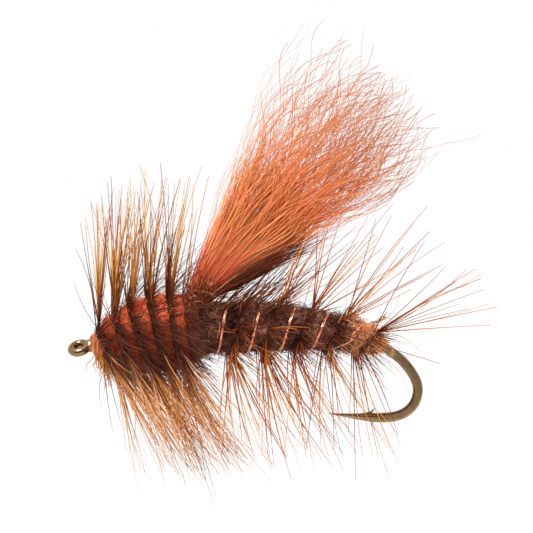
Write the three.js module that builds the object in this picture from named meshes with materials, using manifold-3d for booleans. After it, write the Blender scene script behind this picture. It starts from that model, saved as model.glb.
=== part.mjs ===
// A palmered hair-wing dry fly, in millimetres.
// The hook's eye is at the origin, +X runs along the shank to the bend, +Z is up through the wing.
import * as THREE from "three";
import { mergeVertices } from "three/addons/utils/BufferGeometryUtils.js";
import Module from "manifold-3d";

const wasm = await Module();
wasm.setup();

// ---- driving dimensions ----
const WIRE_RADIUS = 0.38;
const FORGED_RADIUS = 0.43; // half height of the wire where the bend is forged
const FORGED_HALF_WIDTH = 0.33; // half the distance between the forged flats
const FORGED_FROM_Z = 0.1; // the forging starts where the wire drops below this height
const FORGING_RUN_IN = 0.6; // drop over which the forging grows to its full depth
const FORGING_RUN_OUT = 1.2; // run over which it fades before the spear
const SPEAR_BELOW_Z = -5;
const SPEAR_FROM_X = 24.6; // the spear tapers from here to the point
const POINT_RADIUS = 0.02;
const HOOK_SIDES = 22;
const EYE_RING_RADIUS = 0.66;
const EYE_WIRE_RADIUS = 0.36;
const EYE_DROOP = 14; // degrees that the eye is bent down
const EYE_ROLL = 31; // degrees that the eye's ring is rolled about the shank
const EYE_NECK = { from: 0.42, to: 0.98 }; // where the end of the wire thickens the shank
const BARB_WIDTH = 0.3;
const CLEARANCE = 0.04; // between nested sleeves
const NEIGHBOURHOOD = 0.17; // how far along the shank a winding feels the sleeve under it
const CUT_CLEARANCE = 0.12; // between a piece and the pieces that it is cut for
const SLEEVE_SIDES = 24;
const BORE_SIDES = 16;
const BORE_OVERRUN = 0.3; // a bore's cutter passes each end of its sleeve by this much

const THREAD_RADIUS = 0.64; // outside of the thread base on the shank
const HEAD = { from: 1.02, to: 1.95 };
const THORAX = { from: 2.0, to: 9.3 };
const BINDING = { from: 9.35, to: 10.05, radius: 2.45 };
const ABDOMEN = { from: 10.1, to: 24.25 };
const TAG = { from: 24.3, to: 25.45 };

const HEAD_WRAPS = { radius: 0.05, fromX: 1.22, pitch: 0.16, turns: 4 };
const THROAT = { x: 1.42, z: -0.98, drop: 0.85, drift: 0.34, rootRadius: 0.26, tipRadius: 0.06 };
const PALMER_PITCH = 2.73; // the rib and the palmered quill run side by side
const RIB = { radius: 0.13, rearX: 23.73, turns: 4.5 };
const BODY_QUILL = { radius: 0.1, rearX: 24.95, turns: 5 };
const FRONT_QUILL = { radius: 0.13, from: 2.2, pitch: 1.42, turns: 5, gap: 0.32 };
const BARB_SHEET = { base: 0.16, tip: 0.07, gapDegrees: 3, lift: 0.06 };
const FRONT_BARB_LENGTH = 10.4;
const BODY_BARB_LENGTH = 9.8;

const WING_ANGLE = 49; // degrees above the shank
const WING_BASE = new THREE.Vector2(9.93, 4.23);
const WING_SIDE_RATIO = 0.5; // half width across the fly over half width along it
const WING_LEAST_SIDE = 0.85; // least half width across the fly
const WING_SIDES = 20;
const UNDERWING = { rootHalf: 0.42, tipHalf: 0.16, rootSide: 0.9, tipSide: 1.9 };
const HACKLE_TIP_THICKNESS = 0.14;
const HOOK_SLOT = { fromX: 20.6, toX: 29.6, halfWidth: 2.4, fromZ: -6.8, toZ: -0.3 };
// distance from the base, then the hair's reach above and below the wing's axis
const WING_OUTLINE = [
  [0.3, 1.0, 0.95],
  [1.4, 1.4, 1.15],
  [5, 2.7, 2.1],
  [9.3, 4.2, 3.7],
  [14, 5.7, 5.4],
  [18.5, 6.9, 6.4],
  [22, 6.8, 5.4],
  [24.5, 4.6, 3.2],
  [25.6, 1.8, 1.2],
];

// ---- small helpers ----
const rad = THREE.MathUtils.degToRad;
const lerp = THREE.MathUtils.lerp;
const clamp = THREE.MathUtils.clamp;

// straight-line reading of a list of [x, value] pairs
function graph(points, x) {
  const last = points.length - 1;
  if (x <= points[0][0]) {
    return points[0][1];
  }
  for (let i = 0; i < last; i++) {
    const [x0, y0] = points[i];
    const [x1, y1] = points[i + 1];
    if (x <= x1) {
      return lerp(y0, y1, (x - x0) / (x1 - x0));
    }
  }
  return points[last][1];
}

function signedVolume(positions, index) {
  const a = new THREE.Vector3();
  const b = new THREE.Vector3();
  const c = new THREE.Vector3();
  let total = 0;
  for (let i = 0; i < index.length; i += 3) {
    a.fromArray(positions, 3 * index[i]);
    b.fromArray(positions, 3 * index[i + 1]);
    c.fromArray(positions, 3 * index[i + 2]);
    total += a.dot(b.cross(c));
  }
  return total;
}

// a closed skin over a row of rings with equal point counts, with a flat cap at each end
function loft(rings) {
  const sides = rings[0].length;
  const points = rings.flat();
  const index = [];
  for (let r = 0; r + 1 < rings.length; r++) {
    for (let s = 0; s < sides; s++) {
      const a = r * sides + s;
      const b = r * sides + ((s + 1) % sides);
      index.push(a, b, a + sides, b, b + sides, a + sides);
    }
  }
  const lastRing = (rings.length - 1) * sides;
  for (let s = 1; s + 1 < sides; s++) {
    index.push(0, s + 1, s);
    index.push(lastRing, lastRing + s, lastRing + s + 1);
  }
  const positions = points.flatMap((p) => p.toArray());
  if (signedVolume(positions, index) < 0) {
    index.reverse();
  }
  const geometry = new THREE.BufferGeometry();
  geometry.setAttribute("position", new THREE.Float32BufferAttribute(positions, 3));
  geometry.setIndex(index);
  return geometry;
}

function roundSection(radius, sides) {
  const corners = [];
  for (let i = 0; i < sides; i++) {
    const a = (2 * Math.PI * i) / sides;
    corners.push(new THREE.Vector2(radius * Math.cos(a), radius * Math.sin(a)));
  }
  return new THREE.Shape(corners);
}

function tube(path, radius, steps, sides = 8) {
  const options = { steps, extrudePath: path, bevelEnabled: false };
  return new THREE.ExtrudeGeometry(roundSection(radius, sides), options);
}

function toSolid(geometry) {
  const bare = geometry.clone();
  bare.deleteAttribute("normal");
  bare.deleteAttribute("uv");
  const merged = mergeVertices(bare, 1e-4);
  const vertProperties = new Float32Array(merged.attributes.position.array);
  const triVerts = new Uint32Array(merged.index.array);
  return new wasm.Manifold(new wasm.Mesh({ numProp: 3, vertProperties, triVerts }));
}

function toGeometry(solid) {
  const mesh = solid.getMesh();
  const geometry = new THREE.BufferGeometry();
  geometry.setAttribute("position", new THREE.BufferAttribute(mesh.vertProperties, 3));
  geometry.setIndex(new THREE.BufferAttribute(mesh.triVerts, 1));
  return geometry;
}

function join(geometries) {
  const solids = geometries.map(toSolid);
  return toGeometry(solids.reduce((sum, solid) => sum.add(solid)));
}

// cuts the other geometries out of the first, and keeps the largest piece that is left
function cut(geometry, cutters) {
  let solid = toSolid(geometry);
  for (const cutter of cutters) {
    solid = solid.subtract(toSolid(cutter));
  }
  const pieces = solid.decompose();
  pieces.sort((p, q) => q.volume() - p.volume());
  return toGeometry(pieces[0]);
}

function boxFrom(low, high) {
  const size = high.clone().sub(low);
  const middle = low.clone().add(high).multiplyScalar(0.5);
  const box = new THREE.BoxGeometry(size.x, size.y, size.z);
  return box.translate(middle.x, middle.y, middle.z);
}

// ---- materials ----
function material(color, roughness, metalness = 0) {
  return new THREE.MeshStandardMaterial({ color, roughness, metalness });
}

const bronze = material(0x6b5833, 0.32, 0.9);
const copper = material(0xc9583a, 0.28, 1.0);
const rustThread = material(0xb0502a, 0.45);
const brownDubbing = material(0x4a2e22, 0.9);
const goldDubbing = material(0xb5703a, 0.9);
const orangeDubbing = material(0xc9502a, 0.9);
const darkQuill = material(0x3a241a, 0.5);
const gingerQuill = material(0x9a6430, 0.5);
const bodyBarbs = material(0x7a4326, 0.6);
const frontBarbs = material(0xa06a35, 0.6);
const orangeHair = material(0xc2573a, 0.55);
const darkHair = material(0x33201a, 0.6);

// ---- the shank's centre line, which everything is wound on ----
const HOOK_LINE = [
  [0.66, 0.16], [1.06, 0.22], [3.42, 0.68], [6.8, 1.27], [10.18, 1.61], [13.56, 1.78],
  [17.79, 1.69], [21.34, 1.35], [23.7, 0.89], [25.39, 0.25], [26.24, -0.27], [27.21, -1.01],
  [27.89, -1.82], [28.33, -2.52], [28.57, -3.21], [28.56, -3.89], [28.37, -4.52],
  [27.97, -5.09], [27.45, -5.48], [26.83, -5.73], [25.86, -5.87], [24.89, -5.87],
  [23.7, -5.8], [22.01, -5.64], [21.01, -5.54],
];
const hookCurve = new THREE.CatmullRomCurve3(HOOK_LINE.map(([x, z]) => new THREE.Vector3(x, 0, z)));
const HOOK_STATIONS = 96;
const hookPoints = hookCurve.getSpacedPoints(HOOK_STATIONS);

// the centre, the direction of the wire and the direction square to it in the fly's plane
function hookFrame(i) {
  const before = hookPoints[Math.max(i - 1, 0)];
  const after = hookPoints[Math.min(i + 1, HOOK_STATIONS)];
  const along = after.clone().sub(before).normalize();
  const up = new THREE.Vector3(-along.z, 0, along.x);
  return { centre: hookPoints[i], along, up };
}

// the same, at a place on the shank
function shankFrame(x) {
  let i = 0;
  while (hookPoints[i + 1].x < x) {
    i += 1;
  }
  const share = (x - hookPoints[i].x) / (hookPoints[i + 1].x - hookPoints[i].x);
  const here = hookFrame(i);
  const next = hookFrame(i + 1);
  const centre = here.centre.clone().lerp(next.centre, share);
  const along = here.along.clone().lerp(next.along, share).normalize();
  const up = new THREE.Vector3(-along.z, 0, along.x);
  return { centre, along, up };
}

// outward direction at an angle from the top, turning towards -Y
function outward(frame, angle) {
  const side = new THREE.Vector3(0, -Math.sin(angle), 0);
  return frame.up.clone().multiplyScalar(Math.cos(angle)).add(side);
}

// ---- hook ----
function hookSection(i, sides) {
  const { centre, up } = hookFrame(i);
  const low = centre.z < SPEAR_BELOW_Z;
  const onSpear = low && centre.x < SPEAR_FROM_X;
  const belowBend = centre.z < FORGED_FROM_Z && !onSpear;
  const lowering = clamp((FORGED_FROM_Z - centre.z) / FORGING_RUN_IN, 0, 1);
  const reach = clamp((centre.x - SPEAR_FROM_X) / FORGING_RUN_OUT, 0, 1);
  const forged = belowBend ? lowering * (low ? reach : 1) : 0;
  let radius = lerp(WIRE_RADIUS, FORGED_RADIUS, forged);
  if (onSpear) {
    const tip = HOOK_LINE[HOOK_LINE.length - 1][0];
    radius = lerp(POINT_RADIUS, WIRE_RADIUS, (centre.x - tip) / (SPEAR_FROM_X - tip));
  }
  const flat = lerp(radius, FORGED_HALF_WIDTH, forged);
  const ring = [];
  for (let s = 0; s < sides; s++) {
    const a = (2 * Math.PI * s) / sides;
    const y = clamp(radius * Math.sin(a), -flat, flat);
    const corner = centre.clone().addScaledVector(up, radius * Math.cos(a));
    corner.y = y;
    ring.push(corner);
  }
  return ring;
}

function eyeGeometry() {
  const ring = new THREE.TorusGeometry(EYE_RING_RADIUS, EYE_WIRE_RADIUS, 14, 32);
  ring.rotateX(rad(EYE_ROLL));
  ring.rotateY(rad(-EYE_DROOP));
  return ring;
}

// the end of the wire lies against the shank where the ring closes, and thickens it there
const NECK_PROFILE = [[0.42, 0.18], [0.5, 0.36], [0.62, 0.48], [0.78, 0.55], [0.98, 0.58]];

function eyeNeckGeometry() {
  const radiusAt = (x) => graph(NECK_PROFILE, x);
  return sleeveSkin(EYE_NECK.from, EYE_NECK.to, radiusAt, 7, 14);
}

// a sliver of wire raised from the spear, pointing back at the bend
function barbGeometry() {
  const outline = [
    [23.2, -5.66], [24.0, -5.46], [24.5, -5.37], [24.97, -5.04], [24.78, -5.4], [24.5, -5.66],
  ];
  const shape = new THREE.Shape(outline.map(([x, z]) => new THREE.Vector2(x, z)));
  const barb = new THREE.ExtrudeGeometry(shape, { depth: BARB_WIDTH, bevelEnabled: false });
  return barb.rotateX(Math.PI / 2).translate(0, BARB_WIDTH / 2, 0);
}

function hookGeometry() {
  const rings = [];
  for (let i = 0; i <= HOOK_STATIONS; i++) {
    rings.push(hookSection(i, HOOK_SIDES));
  }
  return join([loft(rings), eyeGeometry(), eyeNeckGeometry(), barbGeometry()]);
}

// ---- sleeves wound round the shank ----
function sleeveSkin(from, to, radiusAt, steps, sides) {
  const rings = [];
  for (let i = 0; i <= steps; i++) {
    const x = lerp(from, to, i / steps);
    const frame = shankFrame(x);
    const ring = [];
    for (let s = 0; s < sides; s++) {
      const direction = outward(frame, (2 * Math.PI * s) / sides);
      ring.push(frame.centre.clone().addScaledVector(direction, radiusAt(x)));
    }
    rings.push(ring);
  }
  return loft(rings);
}

function sleeve(from, to, radiusAt, boreRadius, steps, cutters = []) {
  const skin = sleeveSkin(from, to, radiusAt, steps, SLEEVE_SIDES);
  const boreSteps = Math.ceil(1.5 * (to - from) + 2);
  const boreFrom = from - BORE_OVERRUN;
  const bore = sleeveSkin(boreFrom, to + BORE_OVERRUN, () => boreRadius, boreSteps, BORE_SIDES);
  return cut(skin, [bore, ...cutters]);
}

const HEAD_PROFILE = [[1.02, 0.62], [1.25, 0.86], [1.6, 1.04], [1.95, 1.0]];
const THORAX_PROFILE = [
  [2.0, 1.35], [2.6, 1.95], [3.5, 2.37], [5.5, 2.9], [7.3, 3.15], [8.6, 2.95], [9.3, 2.62],
];
const ABDOMEN_PROFILE = [
  [10.1, 1.98], [13.56, 1.94], [17.79, 1.73], [20.15, 1.48], [21.34, 1.35], [22.52, 1.27],
  [23.7, 1.1], [24.3, 1.0], [25.14, 0.72], [25.45, 0.56],
];
const headRadius = (x) => graph(HEAD_PROFILE, x);
const thoraxRadius = (x) => graph(THORAX_PROFILE, x);
const abdomenRadius = (x) => graph(ABDOMEN_PROFILE, x);

// ---- wire, thread and quills wound in a helix over a sleeve ----
// sense is +1 when the winding moves to the rear as it comes down the -Y side
function helixPoint(winding, angle, height) {
  const x = winding.topX + (winding.sense * winding.pitch * angle) / (2 * Math.PI);
  const frame = shankFrame(x);
  const beside = [x - NEIGHBOURHOOD, x, x + NEIGHBOURHOOD].map(winding.radiusAt);
  const radius = Math.max(...beside) + height;
  return frame.centre.clone().addScaledVector(outward(frame, angle), radius);
}

const HELIX_STEPS_PER_TURN = 20;

function helixTube(winding, wireRadius, fromTurn, toTurn, sides = 8) {
  const steps = Math.round((toTurn - fromTurn) * HELIX_STEPS_PER_TURN);
  const points = [];
  for (let i = 0; i <= steps; i++) {
    const angle = 2 * Math.PI * lerp(fromTurn, toTurn, i / steps);
    points.push(helixPoint(winding, angle, wireRadius + CLEARANCE));
  }
  return tube(new THREE.CatmullRomCurve3(points), wireRadius, steps, sides);
}

const ribWinding = {
  topX: RIB.rearX,
  pitch: PALMER_PITCH,
  sense: -1,
  radiusAt: abdomenRadius,
};
const bodyQuillWinding = {
  topX: BODY_QUILL.rearX,
  pitch: PALMER_PITCH,
  sense: -1,
  radiusAt: abdomenRadius,
};
const frontQuillWinding = {
  topX: FRONT_QUILL.from,
  pitch: FRONT_QUILL.pitch,
  sense: 1,
  radiusAt: thoraxRadius,
};
const darkQuillWinding = { ...frontQuillWinding, topX: FRONT_QUILL.from - FRONT_QUILL.gap };
const headWinding = {
  topX: HEAD_WRAPS.fromX,
  pitch: HEAD_WRAPS.pitch,
  sense: 1,
  radiusAt: headRadius,
};

// ---- hackle: one thin sheet of barbs for each turn of a quill ----
function barbSheet(winding, turn, startHeight, barbLength, leanAt) {
  const stepsPerTurn = 36;
  const gap = BARB_SHEET.gapDegrees / 360;
  const rings = [];
  for (let i = 0; i <= stepsPerTurn; i++) {
    const angle = 2 * Math.PI * (turn + lerp(gap, 1 - gap, i / stepsPerTurn));
    const base = helixPoint(winding, angle, startHeight);
    const frame = shankFrame(clamp(base.x, HEAD.from, TAG.to));
    const lean = rad(leanAt(base.x, angle));
    const rise = outward(frame, angle).multiplyScalar(Math.cos(lean));
    const tip = base.clone().addScaledVector(rise, barbLength);
    tip.addScaledVector(frame.along, barbLength * Math.sin(lean));
    const back = frame.along;
    rings.push([
      base.clone().addScaledVector(back, -BARB_SHEET.base / 2),
      tip.clone().addScaledVector(back, -BARB_SHEET.tip / 2),
      tip.clone().addScaledVector(back, BARB_SHEET.tip / 2),
      base.clone().addScaledVector(back, BARB_SHEET.base / 2),
    ]);
  }
  return loft(rings);
}

// barbs lean to the rear by an angle that goes from the top's to the bottom's round the fly
function blendLean(topLean, bottomLean, angle) {
  return lerp(topLean, bottomLean, (1 - Math.cos(angle)) / 2);
}

function frontLean(x, angle) {
  const share = (x - FRONT_QUILL.from) / (THORAX.to - FRONT_QUILL.from);
  return blendLean(lerp(-4, 4, share), lerp(19, 24, share), angle);
}

const BODY_TOP_LEAN = [[11, 14], [15, 18], [19.8, 24], [22.9, 38], [24.6, 54], [25.4, 62]];
const BODY_BOTTOM_LEAN = [[11, 25], [20, 26], [25.4, 34]];

function bodyLean(x, angle) {
  return blendLean(graph(BODY_TOP_LEAN, x), graph(BODY_BOTTOM_LEAN, x), angle);
}

// ---- wing ----
const wingAlong = new THREE.Vector3(Math.cos(rad(WING_ANGLE)), 0, Math.sin(rad(WING_ANGLE)));
const wingUp = new THREE.Vector3(-wingAlong.z, 0, wingAlong.x);

function ellipseRing(centre, up, halfHeight, halfWidth, sides) {
  const ring = [];
  for (let s = 0; s < sides; s++) {
    const a = (2 * Math.PI * s) / sides;
    const corner = centre.clone().addScaledVector(up, halfHeight * Math.cos(a));
    corner.y += halfWidth * Math.sin(a);
    ring.push(corner);
  }
  return ring;
}

// the clipped butts lie on the thread base and the hair turns up behind the binding
function wingGeometry(grow) {
  const root = [
    { x: 5.6 - grow, z: 2.2, slope: 8, half: 0.36, side: 0.5 },
    { x: 8.6, z: 2.72, slope: 14, half: 0.46, side: 0.7 },
    { x: 9.6, z: 3.12, slope: 30, half: 0.56, side: 0.8 },
  ];
  const rings = root.map(({ x, z, slope, half, side }) => {
    const up = new THREE.Vector3(-Math.sin(rad(slope)), 0, Math.cos(rad(slope)));
    return ellipseRing(new THREE.Vector3(x, 0, z), up, half + grow, side + grow, WING_SIDES);
  });
  const base = new THREE.Vector3(WING_BASE.x, 0, WING_BASE.y);
  for (const [distance, above, below] of WING_OUTLINE) {
    const half = (above + below) / 2;
    const centre = base.clone().addScaledVector(wingAlong, distance);
    centre.addScaledVector(wingUp, (above - below) / 2);
    const side = Math.max(half * WING_SIDE_RATIO, WING_LEAST_SIDE);
    rings.push(ellipseRing(centre, wingUp, half + grow, side + grow, WING_SIDES));
  }
  return loft(rings);
}

// dark hair along the underside of the wing
function underwingGeometry(grow) {
  const path = new THREE.CatmullRomCurve3([
    new THREE.Vector3(11.7, 0, 4.1),
    new THREE.Vector3(14.3, 0, 5.65),
    new THREE.Vector3(16.9, 0, 7.25),
    new THREE.Vector3(19.2, 0, 8.35),
  ]);
  const steps = 14;
  const rings = [];
  for (let i = 0; i <= steps; i++) {
    const share = i / steps;
    const along = path.getTangent(share);
    const up = new THREE.Vector3(-along.z, 0, along.x);
    const half = lerp(UNDERWING.rootHalf, UNDERWING.tipHalf, share) + grow;
    const width = lerp(UNDERWING.rootSide, UNDERWING.tipSide, share) + grow;
    rings.push(ellipseRing(path.getPoint(share), up, half, width, 14));
  }
  return loft(rings);
}

// the clipped end of the palmered feather, a flat blade standing on the tag
function hackleTipShape() {
  const shape = new THREE.Shape();
  shape.moveTo(24.62, 2.0);
  shape.quadraticCurveTo(24.95, 2.75, 26.0, 2.85);
  shape.quadraticCurveTo(25.7, 2.05, 24.8, 1.88);
  shape.closePath();
  return shape;
}

function hackleTipGeometry(grow) {
  const width = HACKLE_TIP_THICKNESS + 2 * grow;
  const blade = new THREE.ExtrudeGeometry(hackleTipShape(), { depth: width, bevelEnabled: false });
  return blade.rotateX(Math.PI / 2).translate(0, width / 2, 0);
}

// loose dubbing that hangs under the head
function throatGeometry() {
  const rings = [];
  const steps = 6;
  for (let i = 0; i <= steps; i++) {
    const share = i / steps;
    const x = THROAT.x + THROAT.drift * share;
    const centre = new THREE.Vector3(x, 0, THROAT.z - THROAT.drop * share);
    const half = lerp(THROAT.rootRadius, THROAT.tipRadius, share);
    const ring = [];
    for (let s = 0; s < 10; s++) {
      const a = (2 * Math.PI * s) / 10;
      ring.push(centre.clone().add(new THREE.Vector3(half * Math.cos(a), half * Math.sin(a), 0)));
    }
    rings.push(ring);
  }
  return loft(rings);
}

// ---- assembly ----
const fly = new THREE.Group();

function add(name, geometry, look) {
  const mesh = new THREE.Mesh(geometry, look);
  mesh.name = name;
  fly.add(mesh);
}

const wingSpace = wingGeometry(CUT_CLEARANCE);
const threadBore = THREAD_RADIUS + CLEARANCE;
const wireBore = WIRE_RADIUS + CLEARANCE;

add("hook", hookGeometry(), bronze);
const threadTo = TAG.from - 0.1;
add("thread_base", sleeve(THORAX.from, threadTo, () => THREAD_RADIUS, wireBore, 30), rustThread);
add("head_thread", sleeve(HEAD.from, HEAD.to, headRadius, wireBore, 10), rustThread);
add("head_wraps", helixTube(headWinding, HEAD_WRAPS.radius, 0, HEAD_WRAPS.turns, 6), rustThread);
add("throat_dubbing", throatGeometry(), goldDubbing);
const thorax = sleeve(THORAX.from, THORAX.to, thoraxRadius, threadBore, 18, [wingSpace]);
add("thorax_dubbing", thorax, orangeDubbing);
const bindingRadius = () => BINDING.radius;
const binding = sleeve(BINDING.from, BINDING.to, bindingRadius, threadBore, 4, [wingSpace]);
add("wing_binding", binding, rustThread);
const abdomen = sleeve(ABDOMEN.from, ABDOMEN.to, abdomenRadius, threadBore, 30, [wingSpace]);
add("abdomen_dubbing", abdomen, brownDubbing);
add("tag_dubbing", sleeve(TAG.from, TAG.to, abdomenRadius, wireBore, 8), goldDubbing);
add("wing_hair", wingGeometry(0), orangeHair);
const overRib = (x) => abdomenRadius(x) + 2 * RIB.radius + 2 * CLEARANCE;
const backSpace = sleeveSkin(ABDOMEN.from, ABDOMEN.to, overRib, 40, 28);
add("underwing_hair", cut(underwingGeometry(0), [wingSpace, backSpace]), darkHair);
add("copper_rib", helixTube(ribWinding, RIB.radius, 0, RIB.turns, 8), copper);
add("body_hackle_quill", helixTube(bodyQuillWinding, BODY_QUILL.radius, 0.1, 4.95, 6), darkQuill);
add("body_hackle_tip", hackleTipGeometry(0), gingerQuill);
const frontTurns = FRONT_QUILL.turns;
const ginger = helixTube(frontQuillWinding, FRONT_QUILL.radius, 0, frontTurns, 6);
add("front_quill_ginger", ginger, gingerQuill);
const dark = helixTube(darkQuillWinding, FRONT_QUILL.radius, 0.15, frontTurns, 6);
add("front_quill_dark", dark, darkQuill);

// the barbs keep clear of the wing, the hook's gap and the feather's clipped end
const hookSlot = boxFrom(
  new THREE.Vector3(HOOK_SLOT.fromX, -HOOK_SLOT.halfWidth, HOOK_SLOT.fromZ),
  new THREE.Vector3(HOOK_SLOT.toX, HOOK_SLOT.halfWidth, HOOK_SLOT.toZ),
);
const tipSpace = hackleTipGeometry(CUT_CLEARANCE);
const cutters = [wingSpace, hookSlot, underwingGeometry(CUT_CLEARANCE), tipSpace];
const frontStart = 2 * FRONT_QUILL.radius + 2 * CLEARANCE + BARB_SHEET.lift;
for (let turn = 0; turn < FRONT_QUILL.turns; turn++) {
  const sheet = barbSheet(frontQuillWinding, turn, frontStart, FRONT_BARB_LENGTH, frontLean);
  add(`front_hackle_turn_${turn + 1}`, cut(sheet, cutters), frontBarbs);
}
const bodyStart = 2 * RIB.radius + 2 * CLEARANCE + BARB_SHEET.lift;
for (let turn = 0; turn < BODY_QUILL.turns; turn++) {
  const sheet = barbSheet(bodyQuillWinding, turn, bodyStart, BODY_BARB_LENGTH, bodyLean);
  add(`body_hackle_turn_${BODY_QUILL.turns - turn}`, cut(sheet, cutters), bodyBarbs);
}

export default fly;
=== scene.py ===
"""A palmered hair-wing dry fly: the looks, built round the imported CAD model.

Lengths on the fly are in millimetres until a mesh is made, and angles are in degrees. The floor
and the lights are placed in metres. The hook's eye is at the origin, +X runs to the bend and +Z up
through the wing, and the camera looks from the -Y side.
"""
import math

import bpy
import numpy as np
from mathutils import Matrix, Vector, noise


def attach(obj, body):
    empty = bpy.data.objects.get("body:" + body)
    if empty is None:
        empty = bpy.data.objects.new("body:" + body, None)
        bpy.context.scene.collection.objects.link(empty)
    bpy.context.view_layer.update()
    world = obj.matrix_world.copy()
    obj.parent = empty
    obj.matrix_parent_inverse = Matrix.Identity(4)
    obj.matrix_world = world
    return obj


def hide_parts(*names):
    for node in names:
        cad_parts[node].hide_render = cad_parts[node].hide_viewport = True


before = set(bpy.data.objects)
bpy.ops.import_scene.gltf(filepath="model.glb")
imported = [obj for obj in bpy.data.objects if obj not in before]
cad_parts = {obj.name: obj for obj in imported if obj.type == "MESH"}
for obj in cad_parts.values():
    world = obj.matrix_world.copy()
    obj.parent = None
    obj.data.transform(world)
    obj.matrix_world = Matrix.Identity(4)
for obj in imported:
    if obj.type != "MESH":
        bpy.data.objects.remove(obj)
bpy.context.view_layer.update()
MM = 0.001

# ---- driving dimensions ----
# the shank's centre line from the eye to the start of the bend, as x and z
SHANK_LINE = [
    (0.66, 0.16), (1.06, 0.22), (3.42, 0.68), (6.8, 1.27), (10.18, 1.61), (13.56, 1.78),
    (17.79, 1.69), (21.34, 1.35), (23.7, 0.89), (25.39, 0.25), (26.24, -0.27), (27.21, -1.01),
]
SHANK_END = 26.2
# the radius of each sleeve round the shank, as x and radius
HEAD_PROFILE = [(1.02, 0.66), (1.2, 0.84), (1.6, 1.0), (1.95, 0.98)]
THORAX_PROFILE = [
    (1.4, 0.95), (2.0, 1.3), (2.6, 1.9), (3.5, 2.37), (5.5, 2.9), (7.3, 3.15), (8.6, 2.95),
    (9.3, 2.62), (10.1, 2.2),
]
ABDOMEN_PROFILE = [
    (10.0, 2.0), (13.56, 1.94), (17.79, 1.73), (20.15, 1.48), (21.34, 1.35), (22.52, 1.27),
    (23.7, 1.1), (24.3, 1.0), (25.14, 0.72), (25.5, 0.5),
]
BINDING_START, BINDING_END, BINDING_RADIUS = 9.3, 10.1, 2.3
# the rib and the body feather's quill run forward by this in one turn, from these places on top
PALMER_PITCH = 2.73
RIB_REAR = 23.73
BODY_QUILL_REAR = 24.95
# where the ginger quill crosses the top of the thorax, as turns and x
FRONT_TOPS = [(-1, 0.7), (0, 1.8), (1, 3.45), (2, 4.85), (3, 6.4), (4, 7.95), (5, 9.25), (6, 10.2)]
DARK_QUILL_AHEAD = 0.3
WING_ANGLE = 49.0
WING_BASE = np.array([9.93, 0.0, 4.23])
WING_OUTLINE = [  # distance along the wing, reach above its axis, reach below it
    (-1.2, 0.6, 0.6), (0.3, 1.0, 0.95), (1.4, 1.45, 1.15), (5, 2.7, 2.1), (9.3, 4.2, 3.7),
    (14, 5.7, 5.4), (18.5, 6.9, 6.7), (22, 7.4, 7.4), (26, 7.8, 8.4),
]
WING_SIDE_RATIO = 0.5  # thickness of the wing across the fly, as a share of its height


# ---- the shank's frame ----
def catmull_rom(points, per_span):
    """A smooth curve through the points, as an array of places along it."""
    p = np.asarray(points, float)
    ends = np.vstack([2 * p[0] - p[1], p, 2 * p[-1] - p[-2]])
    out = []
    for i in range(len(p) - 1):
        a, b, c, d = ends[i : i + 4]
        t = np.linspace(0, 1, per_span, endpoint=False)[:, None]
        out.append(
            0.5 * (2 * b + (c - a) * t + (2 * a - 5 * b + 4 * c - d) * t**2
                   + (3 * b - a - 3 * c + d) * t**3)
        )
    out.append(p[-1:])
    return np.vstack(out)


SHANK = catmull_rom(SHANK_LINE, 12)
SHANK = SHANK[: np.argmax(SHANK[:, 0] > SHANK_END)]


def unit(v):
    return v / np.maximum(np.linalg.norm(v, axis=-1, keepdims=True), 1e-9)


def shank_frame(x):
    """Centre, direction along the shank and direction up from it, at each x."""
    x = np.asarray(x, float)
    z = np.interp(x, SHANK[:, 0], SHANK[:, 1])
    step = 0.25
    rise = np.interp(x + step, SHANK[:, 0], SHANK[:, 1])
    rise = rise - np.interp(x - step, SHANK[:, 0], SHANK[:, 1])
    zero = np.zeros_like(x)
    along = unit(np.stack([zero + 2 * step, zero, rise], -1))
    up = np.stack([-along[..., 2], zero, along[..., 0]], -1)
    return np.stack([x, zero, z], -1), along, up


def outward(up, angle):
    """Direction out from the shank at an angle from the top, turning towards the near side."""
    a = np.radians(angle)[..., None]
    side = np.zeros_like(up)
    side[..., 1] = -1.0
    return up * np.cos(a) + side * np.sin(a)


def on_body(x, angle, radius):
    """The place at that distance from the shank's centre line."""
    centre, _, up = shank_frame(x)
    return centre + outward(up, angle) * np.asarray(radius)[..., None]


def profile(points):
    """The function that runs straight from point to point and stays level past the ends."""
    xs, rs = zip(*points)
    return lambda x: np.interp(x, xs, rs)


head_radius = profile(HEAD_PROFILE)
thorax_radius = profile(THORAX_PROFILE)
abdomen_radius = profile(ABDOMEN_PROFILE)
binding_radius = profile([(BINDING_START, BINDING_RADIUS)])
front_x = profile(FRONT_TOPS)


def palmer_x(rear):
    """Where a winding that starts at the rear crosses the top, after each number of turns."""
    return lambda turns: rear - PALMER_PITCH * turns


def from_top(angle):
    """How far round from the top, on either side, from 0 to 180."""
    return np.abs((angle + 180) % 360 - 180)


# ---- meshes ----
COLUMNS = 64  # strands take their colours from this many columns of one map
COLOUR_MAP = "OFBake"


def mesh_from(points, polygons):
    """A smooth-shaded mesh. polygons is a list of (n, corners) index arrays."""
    mesh = bpy.data.meshes.new("mesh")
    mesh.vertices.add(len(points))
    mesh.vertices.foreach_set("co", (np.asarray(points) * MM).astype(np.float32).ravel())
    loops = np.concatenate([p.ravel() for p in polygons]).astype(np.int32)
    totals = np.concatenate([np.full(len(p), p.shape[1]) for p in polygons])
    starts = np.concatenate([[0], np.cumsum(totals)[:-1]])
    mesh.loops.add(len(loops))
    mesh.loops.foreach_set("vertex_index", loops)
    mesh.polygons.add(len(totals))
    mesh.polygons.foreach_set("loop_start", starts.astype(np.int32))
    mesh.polygons.foreach_set("loop_total", totals.astype(np.int32))
    mesh.polygons.foreach_set("use_smooth", np.ones(len(totals), bool))
    mesh.update(calc_edges=True)
    mesh.validate()
    return mesh


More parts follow.
